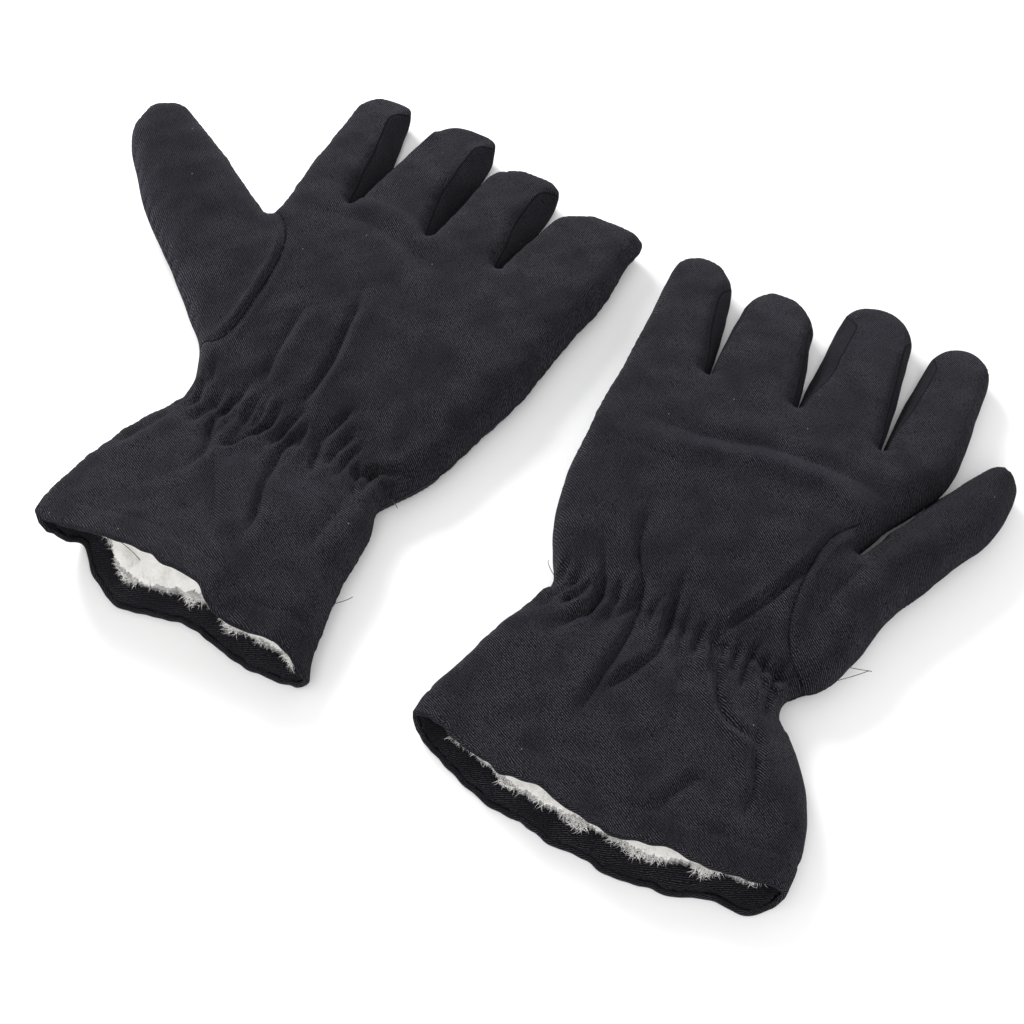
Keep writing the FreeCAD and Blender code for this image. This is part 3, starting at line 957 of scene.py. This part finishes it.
def lining_pieces(side, fine, materials):
    """Pile lining inside the shell, one piece per body, lumpy towards the mouth."""
    skin, normals = fine["inner"], fine["soft_normals"]
    rng = np.random.default_rng(7)
    outer = skin - normals * LINING_IN
    seen = ramp(-skin[:, 1], 20.0, 60.0)
    lumps = 0.5 + seen * (2.6 + 3.0 * wavy(skin, 11.0, 31) + 1.5 * wavy(skin, 5.0, 32))
    fluff = lumps + rng.uniform(-0.8, 0.8, len(skin))
    fluff = relax(fluff[:, None], fine["quads"], 2)[:, 0]
    inner = skin - normals * (LINING_IN + LINING + np.maximum(fluff, -1.5))[:, None]
    from_hem = fine["hem"][fine["quads"]].mean(1)
    for region in ("hand", "cuff", "thumb") + FINGERS:
        faces = np.where((fine["regions"] == region) & (from_hem > HEM_DEPTH - LINING_OVER_HEM))[0]
        shell_piece(side, f"{region}_lining", "pile", region, fine, faces, outer, inner, normals,
                    materials["pile"])


def hidden_pieces(side, fine, materials):
    """Quilted insulation of the hand and the wrist elastic, between shell and lining."""
    smooth, normals = fine["inner"], fine["soft_normals"]
    in_hand = fine["regions"] == "hand"
    y = smooth[fine["quads"]].mean(1)[:, 1]
    inner = smooth - normals * (LINING_IN - 0.3)

    quilt = 0.35 * np.abs(np.sin(smooth[:, 0] * 0.16) * np.sin(smooth[:, 1] * 0.16))
    outer = smooth - normals * (SHELL + 0.65 - quilt)[:, None]
    for panel, node in (("front", "palm_insulation"), ("back", "back_insulation")):
        label = fine["names"].index((panel, "hand"))
        faces = np.where((fine["which"] == label) & (y > INSULATION_START))[0]
        shell_piece(side, node, "batting", "hand", fine, faces, outer, inner, normals,
                    materials["batting"])

    cords = 0.15 * np.sin(smooth[:, 1] * 2 * math.pi / 3.0)
    outer = smooth - normals * (SHELL + 0.45 - cords)[:, None]
    faces = np.where(in_hand & (y > 0.0) & (y < ELASTIC_WIDTH))[0]
    shell_piece(side, "wrist_elastic", "band", "hand", fine, faces, outer, inner, normals,
                materials["elastic"])


def mouth_loop(fine):
    """The hem's points round the mouth, with outward normals and the way out of the glove."""
    points = fine["points"][fine["mouth"]]
    normals = fine["soft_normals"][fine["mouth"]]
    tangent = unit(np.roll(points, -1, axis=0) - np.roll(points, 1, axis=0))
    normals = unit(normals - (normals * tangent).sum(1, keepdims=True) * tangent)
    out = np.cross(tangent, normals)
    out *= np.sign(-out[:, 1:2])
    return points, normals, out


def hem_pieces(side, fine, materials):
    """Turned hem: a rolled edge round the mouth and a band of cloth inside it."""
    skin, normals = fine["inner"], fine["soft_normals"]
    faces = np.where(fine["hem"][fine["quads"]].mean(1) < HEM_DEPTH)[0]
    wave = 0.3 * wavy(skin, 14.0, 41)
    outer = skin - normals * (SHELL + 0.25)
    inner = skin - normals * (SHELL + 0.25 + FACING + wave)[:, None]
    shell_piece(side, "cuff_hem_facing", "cloth", "cuff", fine, faces, outer, inner, normals,
                materials["hem"])

    points, across, out = mouth_loop(fine)
    radius = (SHELL + FACING + 0.3) / 2.0
    roll, faces = round_line(side, "cuff_hem_roll", points - across * radius, across * radius,
                             out * radius, 10, True)
    index = np.concatenate(faces)
    places = np.column_stack([index // 10 * 0.14, index % 10 * 0.08])
    dress(roll, materials["hem"], places, np.full(10 * len(points), SEAM_REACH))
    attach(roll, side, "cuff", "dark_twill")


def ring_faces(rings, corners, closed):
    """Quads between neighbouring rings of points, and from the last to the first when closed."""
    faces = []
    for k in range(rings if closed else rings - 1):
        here, there = k * corners, (k + 1) % rings * corners
        for c in range(corners):
            turned = (c + 1) % corners
            faces.append([here + c, here + turned, there + turned, there + c])
    return faces


def round_line(side, name, line, across, up, corners, closed):
    """Cord along a line, with rings spanned by across and up: the object and its faces."""
    turns = np.arange(corners) * 2 * math.pi / corners
    rings = [line + across * math.cos(turn) + up * math.sin(turn) for turn in turns]
    verts = np.stack(rings, axis=1).reshape(-1, 3)
    verts[:, 2] = np.maximum(verts[:, 2], 0.0)
    faces = ring_faces(len(line), corners, closed)
    if not closed:
        faces = [list(range(corners)), [len(verts) - 1 - c for c in range(corners)]] + faces
    obj = mesh_object(f"{side}_{name}", to_row(side, verts), faces)
    work = bmesh.new()
    work.from_mesh(obj.data)
    bmesh.ops.recalc_face_normals(work, faces=work.faces)
    work.to_mesh(obj.data)
    work.free()
    return obj, [list(face.vertices) for face in obj.data.polygons]


def hairs(side, name, roots, directions, lengths, radius, curl, material, seed):
    """Many short tapered curved hairs as one mesh."""
    rings, corners = 3, 3
    axis = unit(directions)
    sway = np.random.default_rng(seed).normal(size=axis.shape)
    sway = unit(sway - (sway * axis).sum(1, keepdims=True) * axis)
    other = np.cross(axis, sway)
    axis *= lengths[:, None]
    bend = sway * curl * lengths[:, None]
    verts = []
    for t in np.arange(rings) / rings:
        thick = radius * (1.0 - 0.75 * t)
        for angle in np.arange(corners) * 2 * math.pi / corners:
            round_hair = sway * math.cos(angle) + other * math.sin(angle)
            verts.append(roots + axis * t + bend * t * t + round_hair * thick)
    verts.append(roots + axis + bend)
    points = np.stack(verts, axis=1).reshape(-1, 3)
    points[:, 2] = np.maximum(points[:, 2], 0.1)
    tip = rings * corners
    faces = ring_faces(rings, corners, False)
    faces += [[tip - corners + c, tip - corners + (c + 1) % corners, tip] for c in range(corners)]
    faces.append([2, 1, 0])
    step = -1 if GLOVES[side]["mirror"] < 0 else 1
    every = [[first + k for k in face[::step]]
             for first in range(0, len(points), tip + 1) for face in faces]
    obj = mesh_object(f"{side}_{name}", to_row(side, points), every)
    dress(obj, material)
    attach(obj, side, "cuff", "white_pile")


def pile_hairs(side, fine, materials):
    """Loose fibres on the pile that shows in the mouth, and its ragged edge over the hem."""
    rng = np.random.default_rng(19)
    skin, normals = fine["inner"], fine["soft_normals"]
    edge = HEM_DEPTH - 3.5 + 3.0 * wavy(skin, 14.0, 51)
    chosen = np.where((fine["hem"] > edge) & (fine["hem"] < 20.0) & (normals[:, 2] < 0.2))[0]
    chosen = rng.choice(chosen, HAIR_COUNT)
    depth = LINING_IN + 1.0 + rng.uniform(0.0, 4.0, HAIR_COUNT)
    roots = skin[chosen] - normals[chosen] * depth[:, None] + rng.normal(0, 0.5, (HAIR_COUNT, 3))
    directions = rng.normal(0, 0.6, (HAIR_COUNT, 3)) - 0.8 * normals[chosen] + (0.0, -0.6, 0.0)
    lengths = rng.uniform(1.5, 3.8, HAIR_COUNT)
    hairs(side, "pile_hairs", roots, directions, lengths, HAIR_RADIUS, 0.6, materials["pile"], 20)


def loose_threads(side, fine, materials):
    """A few dark sewing threads left hanging at the seams."""
    rng = np.random.default_rng(77)
    for k, (start, heading, length) in enumerate(GLOVES[side]["threads"]):
        root = fine["points"][np.linalg.norm(fine["points"] - start, axis=1).argmin()]
        t = np.linspace(0, 1, 14)[:, None]
        sway = rng.normal(0, 1, (2, 3)) * length * 0.12
        direction = np.array(heading) / np.linalg.norm(heading)
        line = root + direction * length * t + sway[0] * np.sin(3.0 * t) + sway[1] * t * t
        line[:, 2] = np.maximum(line[:, 2], 0.4)
        tangent = unit(np.gradient(line, axis=0))
        across = unit(np.cross(tangent, (0.3, 0.2, 0.93)))
        up = np.cross(tangent, across)
        obj, _ = round_line(side, f"thread_{k}", line, across * THREAD_RADIUS, up * THREAD_RADIUS,
                            5, False)
        dress(obj, materials["thread"])
        attach(obj, side, "cuff" if start[1] < -30 else "hand", "dark_twill")


# ---------------------------------------------------------------- materials
class Shader:
    """Node tree of one material, with one call for each node."""

    def __init__(self, name):
        self.material = bpy.data.materials.new(name)
        self.material.use_nodes = True
        self.tree = self.material.node_tree

    def fill(self, node, inputs):
        """Give each named input of a node a value, or link it to another node's output."""
        for key, value in inputs.items():
            if isinstance(value, bpy.types.NodeSocket):
                self.tree.links.new(value, node.inputs[key])
            else:
                node.inputs[key].default_value = value

    def node(self, kind, inputs, output, **settings):
        """New node; gives the output asked for."""
        node = self.tree.nodes.new("ShaderNode" + kind)
        for key, value in settings.items():
            setattr(node, key, value)
        self.fill(node, inputs)
        return node.outputs[output]

    def mix(self, factor, first, second):
        """Colour mix; first and second are colours or outputs."""
        first, second = ((*value, 1.0) if isinstance(value, tuple) else value
                         for value in (first, second))
        return self.node("Mix", {0: factor, 6: first, 7: second}, 2, data_type="RGBA")

    def noise(self, place, scale, detail, **more):
        """Noise from 0 to 1, scale times per unit of the place."""
        return self.node("TexNoise", {"Vector": place, "Scale": scale, "Detail": detail, **more},
                         "Fac")

    def spread(self, value, low, high, to_low=0.0, to_high=1.0):
        """The range from low to high stretched to another range, and cut off outside it."""
        return self.node("MapRange", {"Value": value, "From Min": low, "From Max": high,
                                      "To Min": to_low, "To Max": to_high}, "Result")

    def finish(self, colour, roughness, height=None, depth=0.0, strength=1.0, **more):
        """Set up the surface, with a bump from height that is depth metres deep."""
        inputs = {"Base Color": colour, "Roughness": roughness, **more}
        if height is not None:
            bump = {"Height": height, "Distance": depth, "Strength": strength}
            inputs["Normal"] = self.node("Bump", bump, "Normal")
        self.fill(self.tree.nodes["Principled BSDF"], inputs)
        return self.material


def twill(name, rib_angle, contrast=1.0):
    """Dark cotton twill: diagonal ribs, uneven dye, dark seams, a little lint, soft sheen."""
    shader = Shader(name)
    place = shader.node("UVMap", {}, "UV", uv_map="cloth")
    turned = shader.node("Mapping", {"Vector": place, "Rotation": (0, 0, math.radians(rib_angle))},
                         "Vector")
    ribs = shader.node("TexWave", {"Vector": turned, "Scale": math.pi / RIB_PITCH, "Distortion": 1.6,
                                   "Detail": 2.0, "Detail Scale": 1.2}, "Fac",
                       wave_type="BANDS", bands_direction="Y", wave_profile="SIN")
    raised = shader.node("Math", {0: ribs, 1: 1.8}, "Value", operation="POWER")
    yarn = shader.noise(turned, 15.0, 3.0)
    dye = shader.noise(place, 0.45, 5.0)
    plain = shader.mix(dye, (0.0080, 0.0078, 0.0104), (0.0170, 0.0164, 0.0208))
    ribbed = shader.mix(raised, (0.0004, 0.0004, 0.0006), (0.0760, 0.0740, 0.0880))
    ribs_shown = shader.spread(shader.noise(place, 0.55, 1.0), 0.35, 0.65, 0.35 * contrast, contrast)
    cloth = shader.mix(ribs_shown, plain, ribbed)
    speckled = shader.mix(shader.spread(yarn, 0.35, 0.60), (0.0030, 0.0029, 0.0040), cloth)

    seam = shader.node("Attribute", {}, "Fac", attribute_name="seam")
    off_seam = shader.spread(seam, 0.25, 0.8)
    sewn = shader.mix(off_seam, (0.0020, 0.0020, 0.0028), speckled)
    from_speck = shader.node("TexVoronoi", {"Vector": place, "Scale": 0.8}, "Distance")
    lint = shader.node("Math", {0: from_speck, 1: 0.022}, "Value", operation="LESS_THAN")
    colour = shader.mix(lint, sewn, (0.22, 0.22, 0.22))

    weave = shader.node("Math", {0: yarn, 1: 0.5, 2: ribs}, "Value", operation="MULTIPLY_ADD")
    height = shader.node("Math", {0: off_seam, 1: 2.0, 2: weave}, "Value", operation="MULTIPLY_ADD")
    sheen = {"Sheen Weight": 0.04, "Sheen Roughness": 0.5, "Sheen Tint": (0.80, 0.80, 1.0, 1.0)}
    return shader.finish(colour, 0.95, height, 0.0004, **sheen, **{"Specular IOR Level": 0.06})


def thread_material():
    """Dull black sewing thread."""
    shader = Shader("thread")
    ply = shader.noise(shader.node("TexCoord", {}, "Object"), 900.0, 2.0)
    return shader.finish(shader.mix(ply, (0.008, 0.008, 0.010), (0.030, 0.030, 0.034)), 0.8)


def pile_material():
    """White fluffy pile, which light passes through a little, with a faint painted glow that lifts it
    out of shade.
    """
    shader = Shader("white_pile")
    fluff = shader.noise(shader.node("TexCoord", {}, "Object"), 420.0, 5.0, Roughness=0.65)
    colour = shader.mix(fluff, (0.80, 0.79, 0.76), (0.97, 0.96, 0.94))
    # Emission is painted light: a faint glow that keeps the pile and its loose hairs white where they
    # lie in shade.
    translucency_and_painted_glow = {"Sheen Weight": 0.5, "Emission Color": colour, "Emission Strength": 0.16,
            "Subsurface Weight": 0.2, "Subsurface Radius": (0.002, 0.002, 0.002)}
    return shader.finish(colour, 1.0, fluff, 0.0008, 0.8, **translucency_and_painted_glow)


def elastic_material():
    """White woven elastic with cords running round the wrist."""
    shader = Shader("elastic")
    place = shader.node("UVMap", {}, "UV", uv_map="cloth")
    cords = shader.node("TexWave", {"Vector": place, "Scale": 5.0, "Distortion": 0.6}, "Fac",
                        wave_type="BANDS", bands_direction="Y")
    colour = shader.mix(cords, (0.30, 0.30, 0.29), (0.62, 0.61, 0.58))
    return shader.finish(colour, 0.8, cords, 0.0003, 0.6)


def batting_material():
    """Off-white quilted batting, hidden between shell and lining."""
    shader = Shader("batting")
    fibre = shader.noise(shader.node("TexCoord", {}, "Object"), 160.0, 3.0)
    return shader.finish(shader.mix(fibre, (0.55, 0.54, 0.50), (0.80, 0.79, 0.75)), 1.0)


# ---------------------------------------------------------------- floor, light and camera
def stage():
    """Plain pale floor, soft light from above and the camera at the viewing angle."""
    corners = [(-FLOOR, -FLOOR, 0), (FLOOR, -FLOOR, 0), (FLOOR, FLOOR, 0), (-FLOOR, FLOOR, 0)]
    floor = mesh_object("floor", corners, [(0, 1, 2, 3)])
    floor.data.materials.append(Shader("floor").finish((0.92, 0.92, 0.92, 1.0), 0.9))

    scene = bpy.context.scene
    scene.world = bpy.data.worlds.new("studio")
    scene.world.use_nodes = True
    sky = scene.world.node_tree.nodes["Background"].inputs
    sky["Color"].default_value = (1.0, 1.0, 1.0, 1.0)
    sky["Strength"].default_value = SKY

    def put(name, data, location, target):
        """Lamp or camera at a place, looking at the target."""
        made = bpy.data.objects.new(name, data)
        made.location = location
        made.rotation_euler = (target - location).to_track_quat("-Z", "Y").to_euler()
        scene.collection.objects.link(made)
        return made

    for name, location, energy, width in LAMPS:
        light = bpy.data.lights.new(name, "AREA")
        light.energy = energy
        light.size = width
        put(name, light, Vector(location), Vector((0, 0, 0)))

    wrists = (to_row("left", [(0, 0, 0)])[0] + to_row("right", [(0, 0, 0)])[0]) / 2.0
    target = Vector(wrists) + Vector(CAMERA_AIM)
    azimuth, elevation = (math.radians(angle) for angle in CAMERA_ANGLES)
    away = Vector((math.sin(azimuth) * math.cos(elevation), -math.cos(azimuth) * math.cos(elevation),
                   math.sin(elevation)))
    lens = bpy.data.cameras.new("camera")
    lens.sensor_width = 36.0
    lens.lens = CAMERA_LENS
    lens.clip_start = 0.01
    scene.camera = put("camera", lens, target + away * CAMERA_DISTANCE, target)
    scene.view_settings.view_transform = "Standard"


# ---------------------------------------------------------------- build
def main():
    """Both gloves and the stage."""
    materials = {
        "front": twill("twill_front", 36.0),
        "back": twill("twill_back", -8.0),
        "fourchette": twill("twill_fourchette", 80.0, contrast=0.5),
        ("front", "cuff"): twill("twill_cuff", 26.0, contrast=1.3),
        ("front", "thumb"): twill("twill_thumb", 40.0, contrast=0.6),
        "hem": twill("twill_hem", 24.0),
        "pile": pile_material(),
        "batting": batting_material(),
        "elastic": elastic_material(),
        "thread": thread_material(),
    }
    for side in GLOVES:
        fine = finish_skin(side)
        outer_pieces(side, fine, materials)
        lining_pieces(side, fine, materials)
        hidden_pieces(side, fine, materials)
        hem_pieces(side, fine, materials)
        pile_hairs(side, fine, materials)
        loose_threads(side, fine, materials)
    stage()


main()
